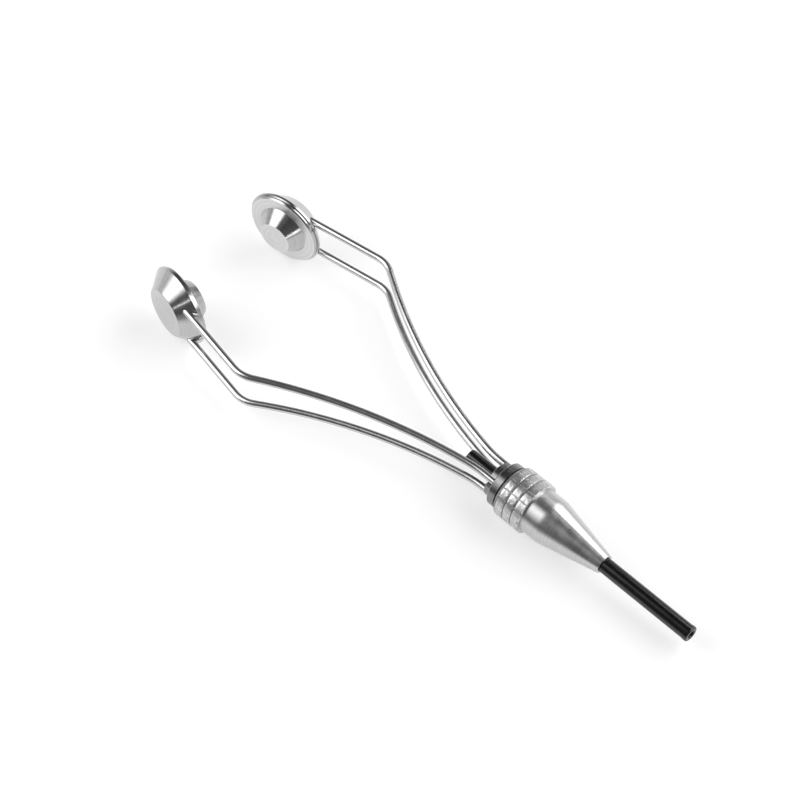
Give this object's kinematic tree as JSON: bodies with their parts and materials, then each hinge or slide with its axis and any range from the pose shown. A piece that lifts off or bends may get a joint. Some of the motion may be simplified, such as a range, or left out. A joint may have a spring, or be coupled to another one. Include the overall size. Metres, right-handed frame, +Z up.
{
  "type": "fly tying bobbin holder",
  "caption": "Fly-tying bobbin holder: sprung wire arms with conical feet grip a thread spool, and the thread runs forward through a slim black tube held by a collet in a knurled steel nose.",
  "frame": {"origin": "centre of the thread tube's front mouth", "axes": "+X along the tube, out of its front mouth; +Z up as the tool lies; the arms spread along Y, the left arm at +Y"},
  "size_m": [0.1073, 0.0336, 0.014],
  "materials": {
    "black_ceramic": "polished black technical ceramic",
    "brass": "turned, hidden inside",
    "turned_steel": "satin turned stainless steel",
    "knurled_steel": "turned and knurled stainless steel",
    "polished_seat_steel": "polished stainless steel",
    "spring_wire": "polished stainless spring wire"
  },
  "bodies": {
    "holder": {"arm_collar": "turned_steel", "threaded_core": "turned_steel"},
    "collet": {"tube_collet": "brass"},
    "nose": {"nose_cone": "turned_steel", "grip_ring": "knurled_steel"},
    "tube": {"thread_tube": "black_ceramic"},
    "left_arm": {"left_upper_wire": "spring_wire", "left_lower_wire": "spring_wire", "left_foot_cap": "turned_steel", "left_spool_seat": "polished_seat_steel"},
    "right_arm": {"right_upper_wire": "spring_wire", "right_lower_wire": "spring_wire", "right_foot_cap": "turned_steel", "right_spool_seat": "polished_seat_steel"}
  },
  "joints": [
    {"name": "tube_slide", "type": "slide", "parent": "holder", "child": "tube", "axis": [1, 0, 0], "range_m": [-0.011, 0.005]},
    {"name": "nose_advance", "type": "slide", "parent": "holder", "child": "collet", "axis": [1, 0, 0], "range_m": [0, 0.00075]},
    {"name": "nose_turn", "type": "hinge", "parent": "collet", "child": "nose", "pos_m": [-0.034, 0, 0], "axis": [1, 0, 0], "range_deg": [0, 540]},
    {"name": "left_arm_flex", "type": "hinge", "parent": "holder", "child": "left_arm", "pos_m": [-0.0382, 0.00179, 0], "axis": [0, 0, -1], "range_deg": [-2, 7], "stiffness_Nm_per_rad": 1.9},
    {"name": "right_arm_flex", "type": "hinge", "parent": "holder", "child": "right_arm", "pos_m": [-0.0382, -0.00179, 0], "axis": [0, 0, 1], "range_deg": [-2, 7], "stiffness_Nm_per_rad": 1.9}
  ],
  "couplings": [
    {"joint": "nose_turn", "follows": "nose_advance", "rad_per_m": 12566}
  ]
}
